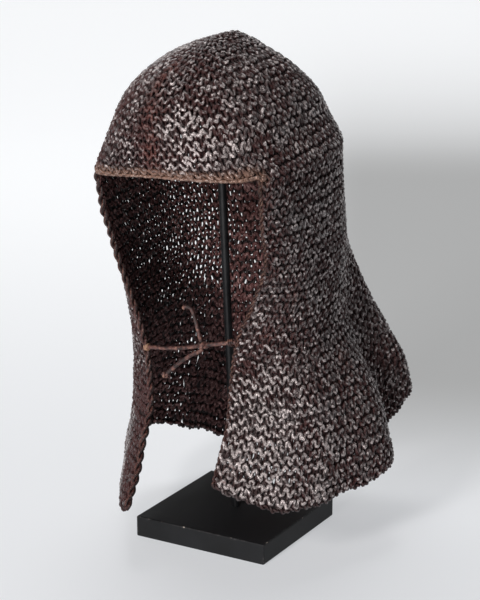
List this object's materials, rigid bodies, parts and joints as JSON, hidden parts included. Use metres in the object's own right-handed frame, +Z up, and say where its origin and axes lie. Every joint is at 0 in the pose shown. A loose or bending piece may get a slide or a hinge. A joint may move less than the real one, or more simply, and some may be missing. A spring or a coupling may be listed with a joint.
{
  "type": "knight costume hood on a display stand",
  "caption": "Knitted cord hood with a pointed crown and a flared shoulder cape, open at the face and down the front, tied by a knotted lace, on a plate and post stand.",
  "frame": {"origin": "the middle of the plate's underside, on the surface the stand rests on", "axes": "+Z up; -Y is the way the hood's face looks; +X is the viewer's right when facing it"},
  "size_m": [0.3013, 0.303, 0.5158],
  "materials": {
    "painted_cord_knit": "dark brown knitted string, dry-brushed with pewter paint",
    "brown_lace": "soft, worn",
    "black_block": "matte",
    "black_steel": "satin black",
    "black_plate": "painted matte black, chipped at the edges"
  },
  "bodies": {
    "root": {"hood": "painted_cord_knit", "lace_left": "brown_lace", "lace_right": "brown_lace", "lace_upper_end": "brown_lace", "lace_lower_end": "brown_lace", "tie_knot": "brown_lace", "tip_knot": "brown_lace", "crown_rest": "black_block", "stand_post": "black_steel", "stand_plate": "black_plate"}
  },
  "joints": []
}
